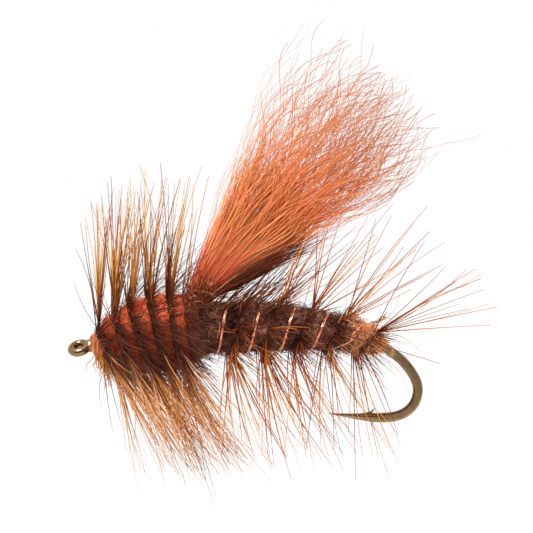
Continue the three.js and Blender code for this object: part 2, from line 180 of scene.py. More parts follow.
def strand_mesh(paths, radii, columns, sides=3):
    """Closed tapered tubes. paths is (strands, points, 3) and radii is (strands, points)."""
    n, k, _ = paths.shape
    tangent = unit(np.gradient(paths, axis=1))
    mean = unit(tangent.mean(axis=1))
    reference = np.eye(3)[np.argmin(np.abs(mean), axis=1)]
    first = unit(np.cross(tangent, reference[:, None, :]))
    second = np.cross(tangent, first)
    turn = 2 * np.pi * np.arange(sides) / sides
    ring = first[:, :, None] * np.cos(turn)[:, None] + second[:, :, None] * np.sin(turn)[:, None]
    points = paths[:, :, None] + ring * radii[:, :, None, None]

    strand = np.arange(n)[:, None, None] * (k * sides)
    row = np.arange(k - 1)[None, :, None] * sides
    here = np.arange(sides)[None, None, :]
    after = (here + 1) % sides
    quads = np.stack(
        [strand + row + here, strand + row + after, strand + row + sides + after,
         strand + row + sides + here], -1
    ).reshape(-1, 4)
    root = (strand[:, 0] + np.arange(sides)[::-1]).reshape(-1, sides)
    tip = (strand[:, 0] + (k - 1) * sides + np.arange(sides)).reshape(-1, sides)
    mesh = mesh_from(points.reshape(-1, 3), [quads, root, tip])

    # each strand's walls lie in its own column of the map, and its two ends just past them
    left = (np.asarray(columns) % COLUMNS + 0.2) / COLUMNS
    width = 0.6 / COLUMNS
    u0 = np.broadcast_to(left[:, None, None] + width * here / sides, (n, k - 1, sides))
    u1 = u0 + width / sides
    v0 = np.broadcast_to(0.03 + 0.94 * np.arange(k - 1)[None, :, None] / (k - 1), u0.shape)
    v1 = v0 + 0.94 / (k - 1)
    wall = np.stack([u0, v0, u1, v0, u1, v1, u0, v1], -1).reshape(-1, 2)
    cap_u = np.repeat(left, sides) + width * np.tile(np.arange(sides), n) / sides
    cap_v = 0.01 * np.tile(np.arange(sides) % 2, n)
    caps = np.stack([cap_u, 0.015 + cap_v], -1), np.stack([cap_u, 0.975 + cap_v], -1)
    layer = mesh.uv_layers.new(name=COLOUR_MAP)
    layer.uv.foreach_set("vector", np.vstack([wall, *caps]).astype(np.float32).ravel())
    return mesh


GROOVE_WIDTH = 0.33


def sleeve_mesh(start, end, radius_at, steps, sides, roughness, seed, groove=None):
    """A lumpy closed sleeve round the shank, pulled in where the groove's winding passes.

    groove is the winding's x at each number of turns, and how deep it pulls the sleeve in.
    """
    x = np.linspace(start, end, steps)
    angle = np.linspace(0, 360, sides, endpoint=False)
    xs, angles = np.meshgrid(x, angle, indexing="ij")
    radius = radius_at(xs)
    lumps = np.empty_like(radius)
    for i, j in np.ndindex(lumps.shape):
        a = math.radians(angles[i, j])
        at = Vector((xs[i, j] * 1.1 + seed, 2.2 * math.cos(a), 2.2 * math.sin(a)))
        lumps[i, j] = noise.fractal(at * 1.3, 0.9, 2.1, 4)
    radius = radius + roughness * lumps
    if groove:
        x_at, depth = groove
        whole = np.arange(-2, 8)[:, None, None]
        apart = np.abs(xs - x_at(whole + angles / 360)).min(axis=0)
        radius = radius - depth * np.exp(-((apart / GROOVE_WIDTH) ** 2)) + 0.3 * depth
    points = on_body(xs, angles, radius)
    row = np.arange(steps - 1)[:, None] * sides
    here = np.arange(sides)[None, :]
    after = (here + 1) % sides
    quads = np.stack([row + here, row + after, row + sides + after, row + sides + here], -1)
    caps = [np.arange(sides)[None, ::-1], (steps - 1) * sides + np.arange(sides)[None, :]]
    return mesh_from(points.reshape(-1, 3), [quads.reshape(-1, 4), *caps])


def add_piece(name, mesh, material, nodes=()):
    """nodes are the CAD nodes that this piece is shown in place of."""
    mesh.name = name
    piece = bpy.data.objects.new(name, mesh)
    bpy.context.scene.collection.objects.link(piece)
    mesh.materials.append(material)
    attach(piece, "root")
    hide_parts(*nodes)


# ---- materials ----
def linear(hex_colour):
    parts = [int(hex_colour[i : i + 2], 16) / 255 for i in (0, 2, 4)]
    return [c / 12.92 if c <= 0.04045 else ((c + 0.055) / 1.055) ** 2.4 for c in parts] + [1.0]


class Nodes:
    """A new material with its Principled shader, and short ways to add nodes to it."""

    def __init__(self, name, roughness, metallic=0.0, specular=0.5):
        self.material = bpy.data.materials.new(name)
        self.material.use_nodes = True
        self.tree = self.material.node_tree
        self.shader = self.tree.nodes["Principled BSDF"]
        self.shader.inputs["Roughness"].default_value = roughness
        self.shader.inputs["Metallic"].default_value = metallic
        self.shader.inputs["Specular IOR Level"].default_value = specular

    def add(self, kind, **settings):
        node = self.tree.nodes.new(kind)
        for key, value in settings.items():
            setattr(node, key, value)
        return node

    def link(self, source, target):
        self.tree.links.new(source, target)

    def ramp(self, source, stops):
        node = self.add("ShaderNodeValToRGB")
        elements = node.color_ramp.elements
        while len(elements) < len(stops):
            elements.new(0.5)
        for element, (place, colour) in zip(elements, stops):
            element.position = place
            element.color = linear(colour)
        self.link(source, node.inputs["Fac"])
        return node.outputs["Color"]

    def math(self, operation, a, b=None):
        node = self.add("ShaderNodeMath", operation=operation)
        for socket, value in zip(node.inputs, (a, b)):
            if isinstance(value, (int, float)):
                socket.default_value = value
            elif value is not None:
                self.link(value, socket)
        return node.outputs[0]

    def multiply(self, first, second):
        node = self.add("ShaderNodeMix", data_type="RGBA", blend_type="MULTIPLY")
        node.inputs[0].default_value = 1.0
        self.link(first, node.inputs[6])
        self.link(second, node.inputs[7])
        return node.outputs[2]

    def position(self, scale=(1, 1, 1)):
        coordinates = self.add("ShaderNodeTexCoord")
        mapping = self.add("ShaderNodeMapping")
        mapping.inputs["Scale"].default_value = scale
        self.link(coordinates.outputs["Object"], mapping.inputs["Vector"])
        return mapping.outputs["Vector"]

    def noise(self, vector, scale, detail=4.0):
        node = self.add("ShaderNodeTexNoise")
        node.inputs["Scale"].default_value = scale
        node.inputs["Detail"].default_value = detail
        self.link(vector, node.inputs["Vector"])
        return node.outputs["Fac"]

    def bump(self, height, distance, strength=1.0):
        node = self.add("ShaderNodeBump")
        node.inputs["Distance"].default_value = distance
        node.inputs["Strength"].default_value = strength
        self.link(height, node.inputs["Height"])
        self.link(node.outputs["Normal"], self.shader.inputs["Normal"])

    def colour(self, source):
        self.link(source, self.shader.inputs["Base Color"])
        return self.material


STRAND_ROUGHNESS = 0.6
STRAND_SPECULAR = 0.12
WOOL_ROUGHNESS = 0.85
WOOL_SPECULAR = 0.1
# the heights over which the painted shade low on the fly fades out
RISE_LOW, RISE_HIGH = -0.002, 0.005  # in metres


def strand_material(name, palette, shade, mottle=None, rise=None):
    """The map's columns run through the palette, dark to light, and shade runs root to tip."""
    m = Nodes(name, STRAND_ROUGHNESS, specular=STRAND_SPECULAR)
    uv = m.add("ShaderNodeUVMap", uv_map=COLOUR_MAP)
    split = m.add("ShaderNodeSeparateXYZ")
    m.link(uv.outputs["UV"], split.inputs[0])
    column = m.math("FLOOR", m.math("MULTIPLY", split.outputs["X"], float(COLUMNS)))
    rank = m.math("DIVIDE", column, COLUMNS - 1.0)
    stops = [(i / max(len(palette) - 1, 1), c) for i, c in enumerate(palette)]
    own = m.ramp(rank, stops)
    along = m.ramp(split.outputs["Y"], shade)
    return m.colour(tinted(m, m.multiply(own, along), mottle, rise))


def tinted(m, colour, mottle, rise):
    """Darker in patches where mottle says, and painted shade, darker low on the fly under the
    hackle, where rise says.
    """
    if mottle:
        patches = m.ramp(m.noise(m.position(), 420.0, 3.0), mottle)
        colour = m.multiply(colour, patches)
    if rise:
        height = m.add("ShaderNodeSeparateXYZ")
        m.link(m.position(), height.inputs[0])
        span = m.add("ShaderNodeMapRange")
        span.inputs["From Min"].default_value = RISE_LOW
        span.inputs["From Max"].default_value = RISE_HIGH
        m.link(height.outputs["Z"], span.inputs["Value"])
        colour = m.multiply(colour, m.ramp(span.outputs[0], rise))
    return colour


def dubbing_material(name, dark, middle, light, mottle=None, rise=None):
    m = Nodes(name, WOOL_ROUGHNESS, specular=WOOL_SPECULAR)
    place = m.position()
    fine = m.noise(place, 2600.0, 6.0)
    broad = m.noise(place, 700.0, 3.0)
    blend = m.math("ADD", m.math("MULTIPLY", fine, 0.7), m.math("MULTIPLY", broad, 0.3))
    m.bump(blend, 0.00015)
    colour = m.ramp(blend, [(0.34, dark), (0.5, middle), (0.66, light)])
    return m.colour(tinted(m, colour, mottle, rise))


def bronze_material():
    m = Nodes("bronzed_steel", 0.24, metallic=1.0)
    cloud = m.noise(m.position(), 900.0, 5.0)
    rough = m.add("ShaderNodeMapRange")
    rough.inputs["To Min"].default_value = 0.14
    rough.inputs["To Max"].default_value = 0.24
    m.link(cloud, rough.inputs["Value"])
    m.link(rough.outputs[0], m.shader.inputs["Roughness"])
    m.bump(m.noise(m.position(), 4000.0, 3.0), 0.00001, 0.4)
    return m.colour(m.ramp(cloud, [(0.3, "6C5434"), (0.55, "826A4C"), (0.8, "A88C6C")]))


def copper_material():
    m = Nodes("copper_wire", 0.2, metallic=1.0)
    cloud = m.noise(m.position(), 1500.0, 4.0)
    m.bump(cloud, 0.00001, 0.5)
    return m.colour(m.ramp(cloud, [(0.3, "D87450"), (0.6, "F0A486"), (0.8, "FFDCC8")]))


def thread_material():
    m = Nodes("rust_thread", 0.35, specular=0.6)
    place = m.position((6, 1, 1))
    fine = m.noise(place, 900.0, 4.0)
    m.bump(fine, 0.00003, 0.6)
    # streaks round the head along the wraps; the ramp's golden light end is partly the thread's
    # own colour and partly painted highlight
    return m.colour(m.ramp(fine, [(0.3, "80301A"), (0.5, "B05228"), (0.7, "EC9848")]))


# shades from a strand's root to its tip
PLAIN = [(0.0, "FFFFFF"), (1.0, "FFFFFF")]
FURNACE = [
    (0.0, "806050"), (0.1, "A88870"), (0.3, "E4D2C0"), (0.6, "FFFFFF"), (0.8, "F4E8DC"),
    (1.0, "C8B09C")]
# the lower barbs' shade, with a paler root than FURNACE: painted light shining through them from
# behind
BACKLIT_TAN_SHADE = [(0.0, "9C6C4C"), (0.1, "C8987C"), (0.35, "FFFFFF"), (0.7, "F8ECE0"), (1.0, "C4AC98")]
WING_SHADE = [
    (0.0, "F4709A"), (0.14, "D8606C"), (0.24, "E68E8A"), (0.36, "FFE4D0"), (0.57, "FCD8BA"),
    (0.85, "D0B49C"), (1.0, "A08A78")]
# shades of the wool from patch to patch, and painted shade on the thorax, darker low on the fly
# under the hackle
PATCHES = [(0.36, "84706A"), (0.5, "D8D0CC"), (0.62, "FFFFFF")]
THORAX_PAINTED_SHADE = [(0.1, "8C706A"), (0.45, "AC9490"), (0.62, "F0E8E4"), (0.72, "FFFFFF")]

bronze = bronze_material()
copper = copper_material()
thread = thread_material()
brown_wool = dubbing_material("brown_dubbing", "341E1C", "6A4034", "B07A60", PATCHES)
orange_wool = dubbing_material("orange_dubbing", "983826", "EC6438", "FC9862", rise=THORAX_PAINTED_SHADE)
gold_wool = dubbing_material("gold_dubbing", "B46038", "E8925C", "FCCC9C")
brown_fuzz = strand_material(
    "brown_fuzz", ["341E1C", "623A32", "905644", "B47656", "DCA07C", "F8D0B0"], PLAIN,
    mottle=PATCHES)
gold_fuzz = strand_material("gold_fuzz", ["B06034", "E49258", "FAB478", "FFD8A8"], PLAIN)
orange_fuzz = strand_material(
    "orange_fuzz", ["8C3420", "CC5028", "EC6636", "FA864A", "FCAE72"], PLAIN, rise=THORAX_PAINTED_SHADE)
ginger_barb = strand_material(
    "ginger_barb", ["6A3818", "A0601E", "CC8430", "E4A040", "F4B858", "FCD088"], FURNACE)
# a paler copy of the ginger colours for the lower barbs of the same feather: painted light shining
# through them from behind
backlit_tan_barb = strand_material(
    "backlit_tan_barb", ["6E3A1A", "A0602A", "CC8644", "E09C58", "F0B47C", "F8CCA0"], BACKLIT_TAN_SHADE)
dark_barb = strand_material(
    "dark_barb", ["3C1A10", "5E2A18", "7E4224", "9C5E34", "BC8048"], PLAIN)
web_barb = strand_material("web_barb", ["482820", "6A3C2C", "8C5438", "AE7650"], PLAIN)
rust_barb = strand_material(
    "rust_barb", ["6A3018", "924A1E", "B86424", "D47C2C", "E8963C", "F4AE58"], FURNACE)
wing_hair = strand_material(
    "wing_hair", ["E08E60", "F0A070", "F8AE7C", "FFBA8A", "FFCAA0"], WING_SHADE)
dark_hair = strand_material("dark_hair", ["3A140A", "5A2612", "7A3A1E", "A05830"], PLAIN)
throat_hair = strand_material("throat_hair", ["8A4A1C", "C47C30", "E8A048", "F8C474"], PLAIN)
quill_dark = strand_material("quill_dark", ["26140E", "3A2016"], PLAIN)
quill_ginger = strand_material("quill_ginger", ["5A3418", "7A4A22"], PLAIN)


# ---- strands ----
rng = np.random.RandomState(7)
FRONT_HACKLE_SEED = 5
BODY_HACKLE_SEED = 21
WING_SEED = 27


def taper(count, points, root, middle, tip):
    """Radii from root to tip, the same for each strand."""
    t = np.linspace(0, 1, points)
    return np.interp(t, [0, 0.45, 1], [root, middle, tip])[None, :] * np.ones((count, 1))


ROOT_DEPTH = 0.05  # how far under a sleeve's surface its fibres start


def fuzz(start, end, radius_at, count, length, lift, points=7):
    """Short curled fibres that wrap round a sleeve, some standing off it."""
    x0 = rng.uniform(start, end, count)
    a0 = rng.uniform(0, 360, count)
    slope = rng.normal(0, 38, count) * rng.choice([1, 1, 2.2], count)
    size = length * rng.uniform(0.5, 1.4, count)
    sense = rng.choice([-1, 1], count)
    t = np.linspace(0, 1, points)[None, :]
    near = radius_at(x0)
    run_x = size * np.sin(np.radians(slope))
    run_a = np.degrees(size * np.cos(np.radians(slope)) / near) * sense
    waves = rng.uniform(0.6, 1.6, count)[:, None]
    phase = rng.random(count)[:, None]
    x = x0[:, None] + run_x[:, None] * t + 0.07 * np.sin(2 * np.pi * (t * waves + phase))
    angle = a0[:, None] + run_a[:, None] * t
    high = np.abs(rng.normal(0, lift, count))[:, None]
    radius = radius_at(x) - ROOT_DEPTH + high * np.sin(np.pi * (0.1 + 0.9 * t) / 1.4)
    radius = radius + 0.05 * np.sin(7 * t + 6 * rng.random(count)[:, None])
    return on_body(np.clip(x, start - 0.3, end + 0.4), angle, radius)


def winding(x_at, radius_at, lift):
    """A helix over a sleeve: turns -> x, angle and point."""

    def place(turns):
        turns = np.asarray(turns, float)
        x = x_at(turns)
        radius = np.max([radius_at(x - 0.15), radius_at(x), radius_at(x + 0.15)], axis=0)
        return x, 360 * turns, on_body(x, 360 * turns, radius + lift)

    return place


def barbs(place, turns, lengths, lean_at, clump, spread, bend, droop=0.0, points=9):
    """Feather barbs from a wound quill. lean_at gives each one's lean to the rear.

    Barbs of one clump share most of their way. Barbs at the sides hang lower by up to droop.
    """
    count = len(turns)
    x, angle, root = place(turns)
    _, along, up = shank_frame(np.clip(x, 1.0, 25.4))
    group = np.arange(count) // clump
    groups = group.max() + 1
    most = 1.7 * spread
    shared = rng.normal(0, spread, groups)[group].clip(-most, most)
    shared_side = rng.normal(0, spread, groups)[group]
    lean = np.radians(lean_at(x, angle) + shared + rng.normal(0, spread * 0.45, count))[:, None]
    hang = droop * np.sin(np.radians(angle))
    way = outward(up, angle + hang + shared_side + rng.normal(0, spread * 0.6, count))
    straight = unit(way * np.cos(lean) + along * np.sin(lean))
    t = np.linspace(0, 1, points)[None, :, None]
    size = lengths[:, None, None]
    curl = rng.normal(bend, 0.07, count)[:, None, None]
    side = unit(np.cross(straight, along))
    sway = rng.normal(0, 0.05, count)[:, None, None]
    paths = root[:, None] + straight[:, None] * size * t
    paths = paths + (along[:, None] * curl + side[:, None] * sway) * size * t**2
    return paths


# ---- hook ----
FLAT_EDGE_ANGLE = 32.0
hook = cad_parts["hook"]
hook.data.materials.clear()
hook.data.materials.append(bronze)
hook.data.polygons.foreach_set("use_smooth", [True] * len(hook.data.polygons))
hook.data.set_sharp_from_angle(angle=math.radians(FLAT_EDGE_ANGLE))

# ---- thread base, head, binding ----
POINTS_PER_WRAP = 24


def thread_wraps(name, start, end, radius_at, pitch, size, nodes=()):
    """Close turns of thread over a sleeve, as one strand."""
    wraps = (end - start) / pitch
    turns = np.linspace(0, wraps, int(POINTS_PER_WRAP * wraps))
    x = start + pitch * turns
    path = on_body(x, 360 * turns, radius_at(x) + size * 0.6)
    mesh = strand_mesh(path[None], np.full((1, len(path)), size), [3], 6)
    add_piece(name, mesh, thread, nodes)


add_piece("head_thread_core",
          sleeve_mesh(1.02, 1.98, head_radius, steps=40, sides=48, roughness=0.02, seed=3.0),
          thread, ["head_thread", "thread_base"])
thread_wraps("head_wraps_thread", 1.06, 1.96, head_radius, pitch=0.11, size=0.055,
             nodes=["head_wraps"])
add_piece("wing_binding_core",
          sleeve_mesh(BINDING_START, BINDING_END, binding_radius, steps=24, sides=64,
                      roughness=0.08, seed=5.0),
          thread, ["wing_binding"])
thread_wraps("wing_binding_wraps", BINDING_START, BINDING_END, binding_radius, pitch=0.09,
             size=0.045)

# ---- dubbing ----
add_piece("thorax_core",
          sleeve_mesh(1.9, 9.6, thorax_radius, steps=110, sides=110, roughness=0.2, seed=11.0,
                      groove=(front_x, 0.22)),
          orange_wool, ["thorax_dubbing"])
add_piece("abdomen_core",
          sleeve_mesh(9.8, 23.1, abdomen_radius, steps=260, sides=110, roughness=0.24, seed=23.0,
                      groove=(palmer_x(RIB_REAR), 0.2)),
          brown_wool, ["abdomen_dubbing"])
add_piece("tag_core",
          sleeve_mesh(22.9, 25.5, abdomen_radius, steps=50, sides=64, roughness=0.1, seed=31.0),
          gold_wool, ["tag_dubbing"])


def add_fuzz(name, material, paths, size, nodes=(), shadow=None):
    """shadow gives each fibre's darkness, from 0 to 1, from where it starts."""
    n, k, _ = paths.shape
    radii = taper(n, k, size, size, size * 0.35)
    rank = rng.random(n)
    if shadow:
        rank = rank * (1 - 0.85 * shadow(paths[:, 0]))
    columns = (rank * (COLUMNS - 1)).astype(int)
    add_piece(name, strand_mesh(paths, radii, columns), material, nodes)


SHADOW_AHEAD = 0.3
SHADOW_WIDTH = 0.24


def beside_body_quill(points):
    """1 just ahead of the body feather's quill and 0 half a turn away from it."""
    height = points[:, 2] - np.interp(points[:, 0], SHANK[:, 0], SHANK[:, 1])
    turn = np.arctan2(-points[:, 1], height) / (2 * np.pi)
    apart = (BODY_QUILL_REAR - SHADOW_AHEAD - points[:, 0]) / PALMER_PITCH - turn
    dark = np.exp(-(((apart - np.round(apart)) / SHADOW_WIDTH) ** 2))
    return dark * np.interp(points[:, 0], [17, 22], [1, 0.6])


def tufts(start, end, radius_at, count, length, lift, points=6):
    """Fibre ends that stand off a sleeve at all slopes and curl over."""
    x0 = rng.uniform(start, end, count)
    a0 = rng.uniform(0, 360, count)
    size = length * rng.uniform(0.3, 1.3, count)[:, None]
    rise = np.clip(rng.normal(lift, 0.3, count), 0.1, 1.2)[:, None]
    heading = rng.uniform(0, 2 * np.pi, count)[:, None]
    turn = rng.normal(0, 1.6, count)[:, None]
    t = np.linspace(0, 1, points)[None, :]
    head = heading + turn * t
    near = radius_at(x0)[:, None]
    x = x0[:, None] + size * t * np.cos(head) * 0.8
    angle = a0[:, None] + np.degrees(size * t * np.sin(head) * 0.8 / near)
    radius = near - ROOT_DEPTH + size * rise * np.sin(t * rng.uniform(1.2, 2.6, count)[:, None])
    return on_body(x, angle, radius)


def padded_abdomen(x):
    """The abdomen's radius, with a step up where its fibres lie over the wing's binding."""
    return abdomen_radius(x) + 0.45 * (x < BINDING_END)


add_fuzz("thorax_fuzz", orange_fuzz,
         fuzz(2.1, 9.8, thorax_radius, count=1800, length=1.6, lift=0.16), size=0.026)
add_fuzz("thorax_tufts", orange_fuzz,
         tufts(2.1, 9.6, thorax_radius, count=900, length=0.9, lift=0.5), size=0.022)
add_fuzz("abdomen_fuzz", brown_fuzz,
         fuzz(9.2, 23.2, padded_abdomen, count=3600, length=1.2, lift=0.16), size=0.026,
         shadow=beside_body_quill)
add_fuzz("abdomen_tufts", brown_fuzz,
         tufts(9.4, 23.3, padded_abdomen, count=3800, length=0.9, lift=0.4), size=0.022,
         shadow=beside_body_quill)
add_fuzz("tag_fuzz", gold_fuzz,
         fuzz(22.7, 25.5, abdomen_radius, count=950, length=1.0, lift=0.2), size=0.026)
add_fuzz("tag_tufts", gold_fuzz,
         tufts(22.4, 25.4, abdomen_radius, count=900, length=0.8, lift=0.5), size=0.022)


def throat_fibres(count):
    """Golden fibres that hang under the head."""
    t = np.linspace(0, 1, 8)[None, :]
    x0 = rng.uniform(1.3, 3.3, count)
    length = rng.uniform(0.5, 1.9, count) * rng.choice([1, 1, 1, 1.9], count)
    lean = np.radians(rng.normal(12, 20, count))
    x = x0[:, None] + length[:, None] * np.sin(lean)[:, None] * t
    x = x + 0.08 * np.sin(9 * t + 6 * rng.random(count)[:, None])
    z = 0.1 - 0.35 * x0[:, None] - length[:, None] * np.cos(lean)[:, None] * t
    y = rng.normal(0, 0.32, count)[:, None]
    y = y + 0.15 * np.sin(6 * t + 6 * rng.random(count)[:, None])
    return np.stack([x, y, z], -1)


add_fuzz("throat_fuzz", throat_hair, throat_fibres(230), size=0.04,
         nodes=["throat_dubbing"])

# ---- rib and quills ----
POINTS_PER_TURN = 40
rib_place = winding(palmer_x(RIB_REAR), abdomen_radius, 0.05)
body_quill_place = winding(palmer_x(BODY_QUILL_REAR), abdomen_radius, 0.05)
ginger_place = winding(front_x, thorax_radius, 0.0)
dark_place = winding(lambda turns: front_x(turns) - DARK_QUILL_AHEAD, thorax_radius, 0.0)


def add_wire(name, place, first, last, size, sides, material, node):
    """size is the wire's radius at its first and its last turn."""
    path = place(np.linspace(first, last, int(POINTS_PER_TURN * (last - first))))[2]
    radii = np.broadcast_to(np.interp(np.linspace(0, 1, len(path)), [0, 1], size), (1, len(path)))
    add_piece(name, strand_mesh(path[None], radii, [5], sides), material, [node])


add_wire("copper_rib_wire", rib_place, 0, 4.6, (0.16, 0.16), 12, copper,
         "copper_rib")
add_wire("body_quill", body_quill_place, 0.05, 5, (0.06, 0.14), 8, quill_dark,
         "body_hackle_quill")
add_wire("ginger_quill", ginger_place, -0.4, 5, (0.05, 0.1), 8, quill_ginger,
         "front_quill_ginger")
add_wire("dark_quill", dark_place, 0.1, 5, (0.06, 0.12), 8, quill_dark,
         "front_quill_dark")

# ---- hackle ----
def wound_turns(first, last, count, share):
    """Places along a quill, with barbs as dense at each angle as share says."""
    tries = rng.uniform(first, last, count * 8)
    kept = tries[rng.random(len(tries)) < share(from_top(360 * tries))]
    return np.sort(kept[:count])


def add_barbs(name, place, turns, lengths, lean_at, material, slot, nodes=(),
              dim=profile([(0, 0)]), size=(0.052, 0.043, 0.018), **shape):
    """dim says how far barbs at each angle are held to the palette's dark end, from 0 to 1:
    painted shade where it rises at the sides, and a darker tone where it is the same at every
    angle.

    size holds a barb's radii at its root, middle and tip, and shape is passed to barbs().
    """
    paths = barbs(place, turns, lengths, lean_at, **shape)
    n, k, _ = paths.shape
    radii = taper(n, k, *size) * rng.uniform(0.75, 1.25, n)[:, None]
    # painted shade at the sides, and a darker tone where it is even all round, pull colours to the
    # palette's dark end
    held = dim(from_top(360 * turns))
    rank = rng.random(n) ** (1 + 1.5 * held) * (1 - 0.6 * held)
    columns = (rank * (COLUMNS - 1)).astype(int)
    add_piece(name, strand_mesh(paths, radii, columns), material, nodes)


def seen_from_side(lean, a):
    """The lean that looks like the one given when the barb is seen from the side."""
    flat = np.maximum(np.abs(np.cos(np.radians(a))), 0.2)
    return np.degrees(np.arctan(np.tan(np.radians(lean)) * flat))


# the share of barbs kept at each angle from the top
front_dark_share = profile(
    [(0, 0.45), (25, 0.4), (40, 0.2), (80, 0.4), (120, 0.4), (150, 0.15), (180, 0.1)])
front_top_share = profile([(0, 1), (25, 0.9), (45, 0.2), (75, 0)])
front_bottom_share = profile([(108, 0), (125, 0.6), (140, 0.9), (180, 1)])
web_share = profile(
    [(0, 0.12), (25, 0.35), (42, 1), (120, 1), (140, 0.3), (160, 0.05), (180, 0)])
wisp_share = profile([(0, 1), (35, 0.6), (60, 0)])
body_share = profile(
    [(0, 1), (30, 0.9), (50, 0.5), (80, 0.3), (110, 0.6), (140, 0.75), (180, 0.75)])
beneath_share = profile([(100, 0), (130, 1), (180, 1)])
body_web_share = profile(
    [(0, 0.05), (30, 0.15), (55, 0.9), (120, 1), (150, 0.3), (180, 0.2)])
# painted shade: how far barbs at each angle are held to the dark end of their colours, most at the
# sides, where the barbs stand towards and away from the camera
front_painted_shade = profile([(0, 0), (25, 0.2), (45, 1), (110, 1), (135, 0.2), (180, 0)])
body_painted_shade = profile([(40, 0), (60, 0.7), (100, 0.7), (130, 0)])

FRONT_LEAN_START = 2.0
FRONT_LEAN_RUN = 7.3
LEAN_ANGLES = [0, 45, 90, 130, 180]


def front_lean(x, angle):
    """Upright on top, a little swept at the sides and swept to the rear below."""
    share = np.clip((x - FRONT_LEAN_START) / FRONT_LEAN_RUN, 0, 1)
    a = from_top(angle)
    front = np.interp(a, LEAN_ANGLES, [14, 14, 14, 15, 15])
    rear = np.interp(a, LEAN_ANGLES, [6, 9, 16, 19, 19])
    return seen_from_side(front + (rear - front) * share, a)


def front_lengths(turns, average):
    """Most barbs are nearly as long as each other and some are shorter."""
    count = len(turns)
    full = rng.normal(average, 0.7, count)
    most = rng.random(count) < 0.68
    return np.where(most, full, rng.uniform(5.0, average, count)).clip(4.5, 12.0)


def web_lean(x, angle):
    return rng.uniform(8, 44, len(x))


def wisp_lean(x, angle):
    return rng.uniform(15, 45, len(x))


rng.seed(FRONT_HACKLE_SEED)
GINGER_THINNING = 0.18  # the share of ginger barbs left out grows by this with each turn
turns = wound_turns(0.0, 5.0, 235, front_top_share)
turns = turns[rng.random(len(turns)) > GINGER_THINNING * turns]
add_barbs("front_hackle_ginger", ginger_place, turns, front_lengths(turns, 10.7), front_lean,
          ginger_barb, "barbs_front", [f"front_hackle_turn_{i}" for i in range(1, 6)], front_painted_shade,
          clump=3, spread=4.2, bend=0.0)
# the ginger feather's lower barbs, coloured paler: painted light from behind
turns = wound_turns(-0.3, 5.0, 320, front_bottom_share)
add_barbs("front_hackle_backlit_tan", ginger_place, turns, front_lengths(turns, 10.2), front_lean,
          backlit_tan_barb, "barbs_front", size=(0.045, 0.036, 0.016), clump=2, spread=7.5, bend=0.04)
turns = wound_turns(0.1, 5.0, 150, front_dark_share)
lengths = front_lengths(turns, 9.6) * np.interp(from_top(360 * turns), [30, 70], [0.8, 1])
add_barbs("front_hackle_dark", dark_place, turns, lengths, front_lean, dark_barb, "barbs_front",
          dim=front_painted_shade, size=(0.05, 0.04, 0.016), clump=4, spread=5, bend=0.08)
turns = wound_turns(0.0, 5.5, 1150, web_share)
lengths = rng.uniform(1.0, 4.6, len(turns)) * np.interp(from_top(360 * turns), [20, 65], [0.5, 1])
add_barbs("front_hackle_web", dark_place, turns, lengths, web_lean, web_barb, "barbs_front",
          dim=profile([(0, 0.5)]), size=(0.042, 0.034, 0.008), clump=2, spread=9, bend=0.2,
          droop=34)
turns = wound_turns(1.5, 4.4, 34, wisp_share)
lengths = rng.uniform(3.5, 6.5, len(turns))
add_barbs("front_hackle_wisps", dark_place, turns, lengths, wisp_lean, dark_barb, "barbs_front",
          dim=profile([(0, 0.6)]), size=(0.04, 0.03, 0.008), clump=1, spread=8, bend=0.55)

# lean of the body feather's barbs along the shank, on top of it and below it
body_top_lean = profile(
    [(11, 44), (14, 40), (17, 30), (19.8, 20), (22.9, 24), (24.2, 31), (24.9, 41)])
body_low_lean = profile([(11, 12), (15, 13), (19.8, 18), (22.9, 24), (24.9, 26)])


def body_lean(x, angle):
    a = from_top(angle)
    low = np.interp(a, [20, 120], [0, 1])
    return seen_from_side(body_top_lean(x) * (1 - low) + body_low_lean(x) * low, a)


def thin_out(turns, spared, share):
    """Keeps the barbs that are spared and about that share of the others."""
    return turns[spared | (rng.random(len(turns)) < share)]


rng.seed(BODY_HACKLE_SEED)
UNDER_WING_END = 15.2
REAR_TURN_END = 0.35
turns = wound_turns(0.05, 4.95, 200, body_share)
turns = thin_out(turns, (turns > REAR_TURN_END) | (from_top(360 * turns) < 60), 0.4)
clear_of_wing = body_quill_place(turns)[0] > UNDER_WING_END
turns = thin_out(turns, clear_of_wing | (from_top(360 * turns) > 55), 0.3)
beneath = wound_turns(3.2, 4.95, 34, beneath_share)
turns = np.sort(np.concatenate([turns, rng.uniform(0.0, 0.16, 12), beneath]))
held_back = np.interp(body_quill_place(turns)[0], [11, 14, 18], [0.45, 0.65, 1])
under_wing = np.interp(from_top(360 * turns), [60, 110], [1, 0])
lengths = rng.normal(9.9, 0.7, len(turns)).clip(7.0, 11.2)
lengths = lengths * (1 + (held_back - 1) * under_wing)
add_barbs("body_hackle", body_quill_place, turns, lengths, body_lean, rust_barb, "barbs_body",
          [f"body_hackle_turn_{i}" for i in range(1, 6)], body_painted_shade, size=(0.05, 0.042, 0.018),
          clump=2, spread=11.0, bend=0.05)
turns = wound_turns(0.05, 4.95, 500, body_web_share)
lengths = rng.uniform(0.9, 3.4, len(turns))
add_barbs("body_hackle_web", body_quill_place, turns, lengths, web_lean, dark_barb, "barbs_body",
          dim=profile([(0, 0.6)]), size=(0.044, 0.034, 0.008), clump=2, spread=12, bend=0.25,
          droop=28)

